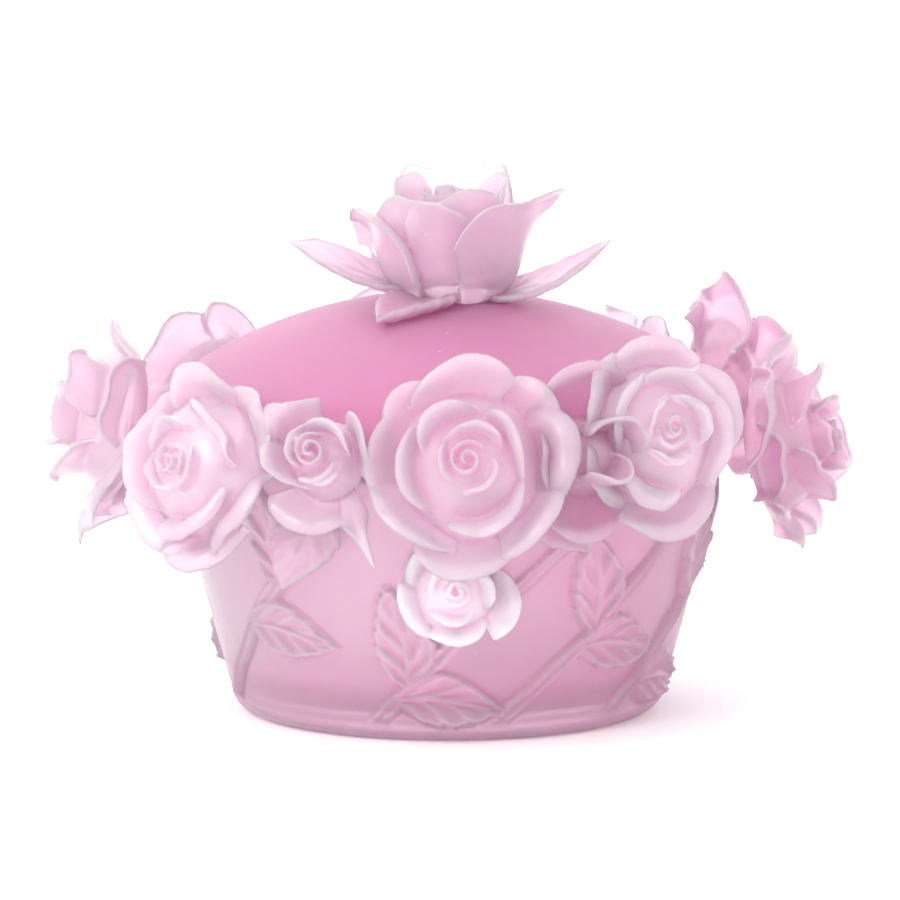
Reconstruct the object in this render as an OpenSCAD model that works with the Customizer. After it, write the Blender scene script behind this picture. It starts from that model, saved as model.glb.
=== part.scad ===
// Cast-glass powder jar: a flared bowl under a garland of roses, and a domed lid with a rose for its knob.
// Millimetres, +Z up. The origin is the centre of the face that the jar stands on, and the front is -Y.
// An angle round the jar is 0 at the front and grows towards +X.

/* [Bowl] */
// Height of the bowl, from the table to its mouth
bowl_h = 70; // [56:1:88]
// Outer radius of the wall at the foot
foot_r = 51; // [42:1:56]
// Outer radius of the wall at the mouth
mouth_outer_r = 68; // [60:1:84]
// Outward swell of the wall at half height
wall_swell = 1.2; // [0:0.1:3]
// Thickness of the wall
wall_t = 5.5; // [4:0.5:8]
// Thickness of the floor
floor_t = 7; // [5:0.5:10]
// Radius of the rounded edge at the foot
foot_round = 6; // [3:0.5:8]
// Radius where the floor turns up into the wall, inside
well_round = 9; // [4:0.5:12]

/* [Lid] */
// How far the edge of the lid stands in from the outside of the mouth
lid_inset = 1; // [0.5:0.1:2]
// Height of the dome above the mouth
dome_rise = 31.5; // [24:0.5:38]
// Height of the upright edge of the lid
lid_edge_h = 3.9; // [2:0.1:6]
// Radius of the rounded shoulder of the dome
shoulder_r = 12; // [9:0.5:14]
// Thickness of the dome
dome_t = 5; // [4:0.5:7]
// Play between the foot of the locating rim and the wall round it, on the radius
seat_play = 0.1; // [0.1:0.05:0.5]
// Depth that the locating rim drops into the mouth
rim_drop = 5; // [3:0.5:8]
// Thickness of the locating rim
rim_t = 3; // [2:0.5:4]
// Height of the locating rim inside the dome
rim_up = 3; // [2:0.5:3.5]
// Running clearance between the locating rim and the dome round it, on the radius
rim_gap = 0.05; // [0.02:0.01:0.1]

/* [Garland] */
// Diameter of a full rose
rose_d = 48; // [38:1:52]
// Depth of a full rose, from its base to its heart
rose_depth = 25; // [22:1:30]
// Diameter of a rosebud
bud_d = 30; // [24:1:34]
// Depth of a rosebud
bud_depth = 24; // [20:1:28]
// Diameter of the small rose low on the wall
low_rose_d = 30; // [24:1:34]
// Depth of the small rose low on the wall
low_rose_depth = 11; // [9:1:14]
// Upward tilt of the flowers
flower_tilt = 12; // [5:1:15]
// Distance from the outside of the mouth to the base of a flower
flower_stand = 6.5; // [6:0.5:9]
// Radius of the neck that joins a flower to the wall
neck_r = 5.5; // [4:0.5:6]
// How deep a flower or leaf is rooted in the glass under it
root = 2; // [1:0.5:3]
// Length of a leaf under the garland
garland_leaf_len = 23; // [18:1:26]
// Width of a leaf under the garland
garland_leaf_w = 17; // [12:1:20]
// How far the tip of that leaf stands off the wall
garland_leaf_stand = 8; // [5:1:10]

/* [Knob] */
// Diameter of the rose on the lid
knob_d = 49; // [40:1:54]
// Height of the rose on the lid
knob_h = 34; // [26:1:38]
// How deep that rose stands in the dome
knob_root = 3; // [2:0.5:4]
// Length of a leaf under that rose
knob_leaf_len = 32; // [24:1:36]
// Width of a leaf under that rose
knob_leaf_w = 17; // [12:1:20]
// Thickness of a free leaf or of a petal
leaf_t = 2.4; // [2:0.2:3.6]

/* [Relief] */
// Radius of a stem that climbs the wall
stem_r = 1.8; // [1.4:0.1:2.6]
// Height of the foot of a stem above the table
stem_low = 5; // [4:0.5:8]
// Distance from the mouth down to the top of a stem
stem_gap = 12; // [8:1:20]
// Degrees that a stem travels round the wall for each millimetre that it climbs
stem_lean = 1; // [0.5:0.1:1.2]
// Length of a leaf on the wall
relief_leaf_len = 27; // [20:1:30]
// Width of a leaf on the wall
relief_leaf_w = 14; // [10:1:17]
// How far a leaf stands out of the wall
relief_h = 2.2; // [1.4:0.2:3]

/* [Hidden] */
// Each flower of the garland: name, angle round the jar, height of its base above the mouth, kind, share of its
// kind's size, and turn about its own axis.
FLOWERS = [
    ["rose_front", 4, 1, "rose", 0.97, 0],
    ["rose_front_right", 38, 5, "rose", 0.95, 40],
    ["rose_right", 80, -5, "rose", 1.02, 20],
    ["rose_back_right", 118, 1, "rose", 0.95, 75],
    ["bud_back", 150, 0, "bud", 1.0, 30],
    ["rose_back", -174, -2, "rose", 1.0, 16],
    ["rose_back_left", -131, -7, "rose", 0.92, 30],
    ["rose_left", -88, -1, "rose", 1.0, 11],
    ["rose_front_left", -46, -4, "rose", 0.92, 25],
    ["bud_front_left", -19, 3, "bud", 1.0, 0],
    ["bud_front_right", 22, 6, "bud", 0.85, 75]
];
// Each small rose low on the wall: name, angle, height as a share of the bowl's, and turn about its own axis.
LOW_ROSES = [["rose_low_front", 1, 0.54, 20], ["rose_low_back", 181, 0.54, 50]];
// Each leaf under the garland: name, angle, distance of its root below the mouth, and the way that it points.
GARLAND_LEAVES = [
    ["garland_leaf_left", -29, 9, -105],
    ["garland_leaf_right", 13, 6, -38],
    ["garland_leaf_back_right", 134, 8, -60],
    ["garland_leaf_back_left", -152, 8, -110]
];
// Each stem on the wall: name, angle of its foot, and how far up it its upright leaf and its level leaf begin.
STEMS = [
    ["front", -19, 0.17, 0.11],
    ["front_right", 14, 0.41, 0.34],
    ["right", 47, 0.47, 0.12],
    ["back_right", 98, 0.3, 0.12],
    ["back", 142, 0.16, 0.12],
    ["back_left", 190, 0.45, 0.3],
    ["left", 232, 0.45, 0.2],
    ["front_left", 286, 0.62, 0.4]
];
// Leaves on each stem: name, column of STEMS that holds where it begins, and the way it points.
STEM_LEAVES = [["upright", 2, 98], ["level", 3, -6]];
// Each leaf under the knob: name, angle, share of the full length and of the full width, and slope at its root and
// at its tip.
KNOB_LEAVES = [
    ["knob_leaf_left", -84, 1.16, 0.9, 14, 30],
    ["knob_leaf_front", -30, 0.95, 1.1, 3, -17],
    ["knob_leaf_right", 84, 1.15, 0.9, 0, 30],
    ["knob_leaf_back_right", 150, 0.85, 1.1, -2, 6],
    ["knob_leaf_back_left", -142, 0.95, 1.0, 22, 28]
];
// Rings of petals of each kind of flower: how many, angle from the flower's axis at the base and at the lip,
// length, half the angle that a petal spans, turn of the ring, and how far one side tucks under the next petal.
ROSE_RINGS = [[5, 30, 92, 27, 42, 0, 1.4], [3, 14, 48, 28, 58, 36, 1.2]];
BUD_RINGS = [[3, 24, 50, 22, 56, 0, 1.2]];
LOW_RINGS = [[5, 60, 92, 17, 42, 0, 1.0]];
KNOB_RINGS = [[5, 22, 60, 34, 42, 30, 1.4], [3, 8, 30, 33, 58, 10, 1.2]];
// Heart of each kind of flower: radius at its base and at its top, and height.
ROSE_HEART = [5, 8.5, 22];
BUD_HEART = [5, 7, 19];
LOW_HEART = [6, 7, 11];
KNOB_HEART = [5, 9, 30];

PETAL_BASE_R = 3;
PETAL_CELLS = [3, 3];
// Share by which a petal is shorter at its sides than in its middle
LIP_ROUND = 0.22;
LEAF_CELLS = [2, 5];
RELIEF_CELLS = [4, 5];
// Share of a leaf's width that is left at its two ends
LEAF_END = 0.12;
// How far the sides of a free leaf fold up from its midrib, and where it begins, out from the axis of the knob
LEAF_FOLD = 2.5;
KNOB_LEAF_START = 4;
// Share of a relief leaf's height that is left at its edge
RELIEF_EDGE = 0.4;
// How far below its flower a neck is rooted in the wall
NECK_DROP = 4;
NECK_SIDES = 10;
HEART_SIDES = 10;
STEM_SIDES = 6;
STEM_STEPS = 9;
ARC_STEPS = 8;
WALL_STEPS = 6;
CUT = 1;
GLASS = "plum";
PALE = "lavenderblush";
DEEP = "orchid";

lid_r = mouth_outer_r - lid_inset;
dome_inner_r = lid_r - dome_t;
mouth_r = mouth_outer_r - wall_t;
rim_r = wall_r(bowl_h - rim_drop) - wall_t - seat_play;
dome_top = bowl_h + dome_rise;
// Height of the dome's top above the centre of its rounded shoulder, and the radius of the sphere that the top is
// part of, which meets the shoulder without a kink
dome_over_shoulder = dome_rise - lid_edge_h;
dome_sphere_r = (pow(lid_r - shoulder_r, 2) + pow(dome_over_shoulder, 2) - pow(shoulder_r, 2))
    / (2 * (dome_over_shoulder - shoulder_r));
flower_r = mouth_outer_r + flower_stand;
stem_high = bowl_h - stem_gap;

RELIEF_LEAVES = [for (s = STEMS, l = STEM_LEAVES) [str("leaf_", s[0], "_", l[0]), s[1], s[l[1]], l[2]]];
$fn = 96;

// Radius of the outside of the wall at a height.
function wall_r(z) =
    let (t = z / bowl_h) foot_r + (mouth_outer_r - foot_r) * t + 4 * wall_swell * t * (1 - t);

// Point at an angle round the jar, a distance from its axis, and a height.
function round_jar(angle, r, z) = [r * sin(angle), -r * cos(angle), z];

// Point on the wall: `along` and `across` are measured on the glass from a start, and `out` is out of the wall.
function on_wall(angle, z, way, along, across, out) =
    let (
        height = z + along * sin(way) + across * cos(way),
        shift = (along * cos(way) - across * sin(way)) / wall_r(z) * 180 / PI
    ) round_jar(angle + shift, wall_r(height) + out, height);

// Height and angle of the place that is a share of the way up a stem.
function stem_z(share) = stem_low + (stem_high - stem_low) * share;
function stem_angle(foot, z) = foot + stem_lean * (z - stem_low);

// Half the width of a leaf of full width w, a share v of the way from its root to its tip.
function leaf_half(w, v) = w / 2 * (LEAF_END + (1 - LEAF_END) * sin(180 * pow(v, 0.75)));

// Points of an arc after its first one, as [radius, height] pairs.
function arc(centre, r, from, to) = [
    for (i = [1:ARC_STEPS]) let (a = from + (to - from) * i / ARC_STEPS) centre + r * [cos(a), sin(a)]
];

// A closed sheet: `point` gives a place for u from -1 to 1 across, v from 0 to 1 along, and each side, 1 and -1.
// Seen from side 1, u runs to the left when v runs up.
module sheet(point, cells) {
    nu = cells[0];
    nv = cells[1];
    edge = concat(
        [for (i = [0:nu - 1]) [i, 0]],
        [for (j = [0:nv - 1]) [nu, j]],
        [for (i = [nu:-1:1]) [i, nv]],
        [for (j = [nv:-1:1]) [0, j]]
    );
    size = (nu + 1) * (nv + 1);
    at = function(back, cell) back * size + cell[0] * (nv + 1) + cell[1];
    quads = concat(
        [for (i = [0:nu - 1], j = [0:nv - 1])
            [at(0, [i, j]), at(0, [i + 1, j]), at(0, [i + 1, j + 1]), at(0, [i, j + 1])]],
        [for (i = [0:nu - 1], j = [0:nv - 1])
            [at(1, [i, j]), at(1, [i, j + 1]), at(1, [i + 1, j + 1]), at(1, [i + 1, j])]],
        [for (k = [0:len(edge) - 1]) let (p = edge[k], q = edge[(k + 1) % len(edge)])
            [at(0, q), at(0, p), at(1, p), at(1, q)]]
    );
    polyhedron(
        points = [for (side = [1, -1], i = [0:nu], j = [0:nv]) point(2 * i / nu - 1, j / nv, side)],
        faces = [for (q = quads) each [[q[2], q[1], q[0]], [q[3], q[2], q[0]]]],
        convexity = 4
    );
}

// A petal bends along an arc as it leaves the flower's axis, wraps round that axis, and is shorter at its sides.
module petal(ring) {
    bend = (ring[2] - ring[1]) * PI / 180;
    sheet(function(u, v, side)
        let (
            lean = ring[1] + (ring[2] - ring[1]) * v * (1 - LIP_ROUND * u * u),
            r = PETAL_BASE_R + ring[3] * (cos(ring[1]) - cos(lean)) / bend + ring[6] * (u + 1)
                + side * leaf_t / 2 * cos(lean),
            z = ring[3] * (sin(lean) - sin(ring[1])) / bend - side * leaf_t / 2 * sin(lean)
        ) [r * cos(ring[4] * u), r * sin(ring[4] * u), z], PETAL_CELLS);
}

// A flower on the origin that opens along +Z, cut to a diameter and a depth.
module blossom(rings, heart, d, depth) {
    resize([d, d, depth]) union() {
        for (ring = rings, k = [0:ring[0] - 1])
            rotate([0, 0, ring[5] + 360 * k / ring[0]])
                petal(ring);
        cylinder(r1 = heart[0], r2 = heart[1], h = heart[2], $fn = HEART_SIDES);
    }
}

// Moves a flower out from the jar's axis, with its own axis outwards and tilted up.
module at_flower(angle, r, z, turn) {
    rotate([0, 0, angle - 90])
        translate([r, 0, z])
            rotate([0, 90 - flower_tilt, 0])
                rotate([0, 0, turn])
                    children();
}

// A flower whose neck leaves the wall below the mouth and then turns up, clear of the lid.
module garland_flower(f) {
    base_z = bowl_h + f[2];
    root_z = min(base_z - NECK_DROP, bowl_h - neck_r - root);
    root_r = wall_r(root_z) + neck_r - root;
    bend_z = min(base_z, bowl_h - neck_r);
    color(PALE) resize([0, 0, 0]) union() {
        at_flower(f[1], flower_r, base_z, f[5])
            if (f[3] == "rose")
                blossom(ROSE_RINGS, ROSE_HEART, rose_d * f[4], rose_depth);
            else
                blossom(BUD_RINGS, BUD_HEART, bud_d * f[4], bud_depth);
        rotate([0, 0, f[1] - 90])
            for (reach = [[root_r, root_z, bend_z], [flower_r, bend_z, base_z]])
                hull() {
                    translate([reach[0], 0, reach[1]]) sphere(neck_r, $fn = NECK_SIDES);
                    translate([flower_r, 0, reach[2]]) sphere(neck_r, $fn = NECK_SIDES);
                }
    }
}

module low_rose(f) {
    z = bowl_h * f[2];
    color(PALE) at_flower(f[1], wall_r(z) - root, z, f[3])
        blossom(LOW_RINGS, LOW_HEART, low_rose_d, low_rose_depth);
}

// A leaf that starts in the wall and stands further off it towards its tip.
module garland_leaf(l) {
    z = bowl_h - l[2];
    color(PALE) sheet(function(u, v, side)
        on_wall(l[1], z, l[3], garland_leaf_len * v, -leaf_half(garland_leaf_w, v) * u,
            (garland_leaf_stand + root) * v - root + (LEAF_FOLD * abs(u) + side * leaf_t / 2)), LEAF_CELLS);
}

// A stem leans as it climbs the wall, half sunk in the glass.
module stem(s) {
    rings = [for (i = [0:STEM_STEPS]) let (z = stem_z(i / STEM_STEPS))
        [for (k = [0:STEM_SIDES - 1]) let (a = 360 * k / STEM_SIDES)
            on_wall(stem_angle(s[1], z), z, 0, stem_r * cos(a), 0, stem_r * sin(a))]];
    last = STEM_STEPS * STEM_SIDES;
    color(GLASS) polyhedron(
        points = [for (ring = rings) each ring],
        faces = concat(
            [[for (k = [STEM_SIDES - 1:-1:0]) k]],
            [[for (k = [0:STEM_SIDES - 1]) last + k]],
            [for (i = [0:STEM_STEPS - 1], k = [0:STEM_SIDES - 1])
                let (a = i * STEM_SIDES, b = a + STEM_SIDES, n = (k + 1) % STEM_SIDES)
                each [[a + k, a + n, b + n], [a + k, b + n, b + k]]]
        )
    );
}

// A leaf in low relief: highest along its midrib, and rooted in the wall behind.
module relief_leaf(l) {
    z = stem_z(l[2]);
    color(GLASS) sheet(function(u, v, side)
        on_wall(stem_angle(l[1], z), z, l[3], relief_leaf_len * v, -leaf_half(relief_leaf_w, v) * u,
            side > 0 ? relief_h * (1 - (1 - RELIEF_EDGE) * u * u) : -root), RELIEF_CELLS);
}

module bowl() {
    color(GLASS) rotate_extrude() difference() {
        polygon(concat(
            [[0, 0], [wall_r(foot_round) - foot_round, 0]],
            arc([wall_r(foot_round) - foot_round, foot_round], foot_round, -90, 0),
            [for (i = [1:WALL_STEPS]) let (z = foot_round + (bowl_h - foot_round) * i / WALL_STEPS) [wall_r(z), z]],
            [[0, bowl_h]]
        ));
        well_z = floor_t + well_round;
        polygon(concat(
            [[0, floor_t], [wall_r(well_z) - wall_t - well_round, floor_t]],
            arc([wall_r(well_z) - wall_t - well_round, well_z], well_round, -90, 0),
            [for (i = [1:WALL_STEPS]) let (z = well_z + (bowl_h - well_z) * i / WALL_STEPS) [wall_r(z) - wall_t, z]],
            [[mouth_r, bowl_h + CUT], [0, bowl_h + CUT]]
        ));
    }
}

// Half of the section of a dome, from its edge up: a straight edge, a rounded shoulder and a part of a sphere.
module dome_section(r, sphere_r, corner_r, low) {
    centre_z = dome_top - dome_sphere_r;
    corner = [r - corner_r, centre_z + sqrt(pow(sphere_r - corner_r, 2) - pow(r - corner_r, 2))];
    meet = atan2(corner[1] - centre_z, corner[0]);
    polygon(concat(
        [[0, low], [r, low], [r, corner[1]]],
        arc(corner, corner_r, 0, meet),
        arc([0, centre_z], sphere_r, meet, 90)
    ));
}

module lid_dome() {
    color(DEEP) rotate_extrude() difference() {
        dome_section(lid_r, dome_sphere_r, shoulder_r, bowl_h);
        dome_section(dome_inner_r, dome_sphere_r - dome_t, shoulder_r - dome_t, bowl_h - CUT);
    }
}

// The rim runs in the dome above the mouth, and drops into the mouth below it.
module lid_rim() {
    color(DEEP) difference() {
        union() {
            translate([0, 0, bowl_h - rim_drop]) cylinder(r = rim_r, h = rim_drop);
            translate([0, 0, bowl_h]) cylinder(r = dome_inner_r - rim_gap, h = rim_up);
        }
        translate([0, 0, bowl_h - rim_drop - CUT]) cylinder(r = rim_r - rim_t, h = rim_drop + rim_up + 2 * CUT);
    }
}

module knob_rose() {
    color(PALE) translate([0, 0, dome_top - knob_root])
        blossom(KNOB_RINGS, KNOB_HEART, knob_d, knob_h);
}

// A leaf that leaves the knob over the top of the dome, along an arc.
module knob_leaf(l) {
    bend = (l[5] - l[4]) * PI / 180;
    length = knob_leaf_len * l[2];
    color(PALE) sheet(function(u, v, side)
        let (
            slope = l[4] + (l[5] - l[4]) * v,
            across = -leaf_half(knob_leaf_w * l[3], v) * u,
            out = KNOB_LEAF_START + length * (sin(slope) - sin(l[4])) / bend - side * leaf_t / 2 * sin(slope),
            up = length * (cos(l[4]) - cos(slope)) / bend + LEAF_FOLD * abs(u) * v + side * leaf_t / 2 * cos(slope)
        ) round_jar(l[1], out, dome_top + up) + across * [cos(l[1]), sin(l[1]), 0], LEAF_CELLS);
}

bowl();
for (f = FLOWERS) garland_flower(f);
for (f = LOW_ROSES) low_rose(f);
for (l = GARLAND_LEAVES) garland_leaf(l);
for (s = STEMS) stem(s);
for (l = RELIEF_LEAVES) relief_leaf(l);
lid_rim();
lid_dome();
knob_rose();
for (l = KNOB_LEAVES) knob_leaf(l);
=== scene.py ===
"""Cast-glass powder jar: a flared bowl under a garland of roses, and a domed lid with a rose for its knob.

Shapes are worked out in millimetres and put into the meshes in metres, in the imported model's own frame.
"""

import logging
import math
from dataclasses import dataclass, field, replace
from enum import Enum

import bpy
import numpy as np
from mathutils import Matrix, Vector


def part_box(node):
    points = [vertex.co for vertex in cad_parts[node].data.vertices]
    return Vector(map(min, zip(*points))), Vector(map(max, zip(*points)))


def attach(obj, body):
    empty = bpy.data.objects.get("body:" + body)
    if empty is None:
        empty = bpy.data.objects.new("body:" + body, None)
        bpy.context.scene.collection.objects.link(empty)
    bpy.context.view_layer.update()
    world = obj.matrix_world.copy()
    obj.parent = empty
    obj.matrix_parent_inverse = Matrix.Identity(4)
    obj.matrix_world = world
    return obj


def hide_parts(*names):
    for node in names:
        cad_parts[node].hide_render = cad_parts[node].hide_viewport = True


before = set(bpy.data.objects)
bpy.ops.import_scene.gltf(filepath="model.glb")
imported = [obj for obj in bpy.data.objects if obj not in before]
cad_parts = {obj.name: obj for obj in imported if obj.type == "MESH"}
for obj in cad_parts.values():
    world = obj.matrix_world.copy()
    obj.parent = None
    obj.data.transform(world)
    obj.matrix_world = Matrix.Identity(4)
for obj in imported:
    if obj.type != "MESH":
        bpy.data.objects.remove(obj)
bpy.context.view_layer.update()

MM = 0.001
WELD_M = 1e-7
Colour = tuple[float, float, float]
log = logging.getLogger("powder_jar")


class Body(Enum):
    """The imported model's bodies, one of which every piece moves with."""

    BOWL = "bowl"
    LID = "lid"
    LID_RIM = "lid_rim"


class Tone(Enum):
    """Copies of the same glass: the plain one, a paler one for the low roses, and a deeper one. The deeper one is
    painted shade on the flowers at the jar's right, and the own colour of the knob's thicker front leaf.
    """

    PLAIN = "plain"
    PALEST = "palest"
    DEEP = "deep"


# ---------------------------------------------------------------------------------------------------------------
# Meshes
# ---------------------------------------------------------------------------------------------------------------


@dataclass
class Patch:
    """Vertices in millimetres and quad faces."""

    verts: np.ndarray
    quads: np.ndarray

    @staticmethod
    def joined(patches: list["Patch"]) -> "Patch":
        """Puts patches together, with their faces renumbered.

        Args:
            patches: Patches that keep their own vertices.

        Returns:
            One patch that holds them all.
        """
        starts = np.cumsum([0] + [len(p.verts) for p in patches[:-1]])
        quads = [p.quads + start for p, start in zip(patches, starts)]
        return Patch(np.concatenate([p.verts for p in patches]), np.concatenate(quads))


def grid_quads(rows: int, cols: int, wrap: bool = False) -> np.ndarray:
    """Quads of a grid of vertices numbered row by row.

    Args:
        rows: Rows of vertices.
        cols: Vertices in a row.
        wrap: Whether the last column joins the first.

    Returns:
        An array of quads, each wound so that rows x columns points out.
    """
    i = np.arange(rows - 1)[:, None]
    j = np.arange(cols if wrap else cols - 1)[None, :]
    after = (j + 1) % cols
    corners = [i * cols + j, (i + 1) * cols + j, (i + 1) * cols + after, i * cols + after]
    return np.stack([c.ravel() for c in np.broadcast_arrays(*corners)], axis=1)


def even_rim(count: int) -> np.ndarray:
    """Places from 0 to 1 that crowd together at both ends, as the cosine of an evenly growing angle does."""
    return (1 - np.cos(np.linspace(0, math.pi, count))) / 2


def closed_pair(front: np.ndarray, back: np.ndarray) -> Patch:
    """Two grids of points as the front and the back of one closed solid.

    Both sides share the front's rim; everywhere else each has its own points.

    Args:
        front: Points of the front, rows x columns x 3; rows x columns points outwards.
        back: Points of the back, of the same shape.

    Returns:
        The closed patch.
    """
    rows, cols, _ = front.shape
    inside = np.zeros((rows, cols), bool)
    inside[1:-1, 1:-1] = True
    number = np.arange(rows * cols)
    number[inside.ravel()] = rows * cols + np.arange(inside.sum())
    quads = grid_quads(rows, cols)
    verts = np.concatenate([front.reshape(-1, 3), back[inside]])
    return Patch(verts, np.concatenate([quads, number[quads][:, ::-1]]))


def closed_sheet(mid: np.ndarray, thickness: np.ndarray) -> Patch:
    """A sheet whose sides stand half the thickness off its middle surface, along the normal, and meet at its rim.

    Args:
        mid: Middle surface, rows x columns x 3.
        thickness: Thickness at each place, rows x columns; it counts as nothing on the rim.

    Returns:
        The closed patch.
    """
    normal = np.cross(np.gradient(mid, axis=0), np.gradient(mid, axis=1))
    normal /= np.maximum(np.linalg.norm(normal, axis=2, keepdims=True), 1e-9)
    half = thickness[..., None] / 2 * normal
    half[[0, -1]] = 0
    half[:, [0, -1]] = 0
    return closed_pair(mid + half, mid - half)


def revolved(radius: np.ndarray, height: np.ndarray, sides: int) -> Patch:
    """A profile turned about the jar's axis.

    Args:
        radius: Radii of the profile's points. They start and end on the axis, or end at the point they start from.
        height: Heights of the same points.
        sides: Steps round the axis.

    Returns:
        The patch. Its poles, or the ring where its ends meet, close when the mesh merges its doubles.
    """
    angle = np.linspace(0, 2 * math.pi, sides, endpoint=False)
    circle = np.stack([np.cos(angle), np.sin(angle)], axis=1)
    verts = np.empty((len(radius), sides, 3))
    verts[..., :2] = radius[:, None, None] * circle[None]
    verts[..., 2] = height[:, None]
    return Patch(verts.reshape(-1, 3), grid_quads(len(radius), sides, wrap=True)[:, ::-1])


def tube(path: np.ndarray, radius: np.ndarray, sides: int = 16) -> Patch:
    """A round tube along a path.

    Args:
        path: Points of the path, n x 3.
        radius: Radius at each point, next to nothing at both ends.
        sides: Steps round the tube.

    Returns:
        The patch, wound outwards.
    """
    tangent = np.gradient(path, axis=0)
    tangent /= np.linalg.norm(tangent, axis=1, keepdims=True)
    across = np.cross(tangent, np.where(np.abs(tangent[:, 2:]) < 0.9, [0.0, 0.0, 1.0], [1.0, 0.0, 0.0]))
    across /= np.linalg.norm(across, axis=1, keepdims=True)
    other = np.cross(tangent, across)
    angle = np.linspace(0, 2 * math.pi, sides, endpoint=False)
    round_ = np.cos(angle)[None, :, None] * across[:, None] + np.sin(angle)[None, :, None] * other[:, None]
    verts = path[:, None] + radius[:, None, None] * round_
    return Patch(verts.reshape(-1, 3), grid_quads(len(path), sides, wrap=True)[:, ::-1])


def node_points(node: str) -> np.ndarray:
    """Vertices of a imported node.

    Args:
        node: The node's name.

    Returns:
        Its points in millimetres, n x 3.
    """
    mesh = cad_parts[node].data
    flat = np.empty(len(mesh.vertices) * 3)
    mesh.vertices.foreach_get("co", flat)
    return flat.reshape(-1, 3) / MM


def new_object(name: str, patch: Patch) -> bpy.types.Object:
    """Makes a smooth-shaded object from a patch, with its doubles merged.

    Args:
        name: Name of the object and its mesh.
        patch: Its surface.

    Returns:
        The object. It sits at the origin, and its place is in its mesh.
    """
    mesh = bpy.data.meshes.new(name)
    mesh.from_pydata((patch.verts * MM).tolist(), [], patch.quads.tolist())
    mesh.validate()
    piece = bpy.data.objects.new(name, mesh)
    bpy.context.scene.collection.objects.link(piece)
    weld = piece.modifiers.new("weld", "WELD")
    weld.merge_threshold = WELD_M
    bake_modifiers(piece)
    return piece


def bake_modifiers(piece: bpy.types.Object) -> None:
    """Applies every modifier of a piece to its mesh, and shades it smooth.

    Args:
        piece: The object, which keeps its name and has no modifiers afterwards.
    """
    graph = bpy.context.evaluated_depsgraph_get()
    mesh = bpy.data.meshes.new_from_object(piece.evaluated_get(graph))
    piece.modifiers.clear()
    old, piece.data = piece.data, mesh
    mesh.name = piece.name
    bpy.data.meshes.remove(old)
    mesh.shade_smooth()


def fused(piece: bpy.types.Object, voxel: float, soften: int) -> None:
    """Melts the piece's overlapping parts into one skin, as glass flows together in a mould.

    Args:
        piece: Object whose closed parts overlap.
        voxel: Size of the remesh's cells, in millimetres.
        soften: Passes of smoothing after it.
    """
    remesh = piece.modifiers.new("fuse", "REMESH")
    remesh.mode = "VOXEL"
    remesh.voxel_size = voxel * MM
    remesh.use_smooth_shade = True
    smooth = piece.modifiers.new("soften", "SMOOTH")
    smooth.factor = 0.5
    smooth.iterations = soften
    bake_modifiers(piece)


# ---------------------------------------------------------------------------------------------------------------
# Finishes
# ---------------------------------------------------------------------------------------------------------------


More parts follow.
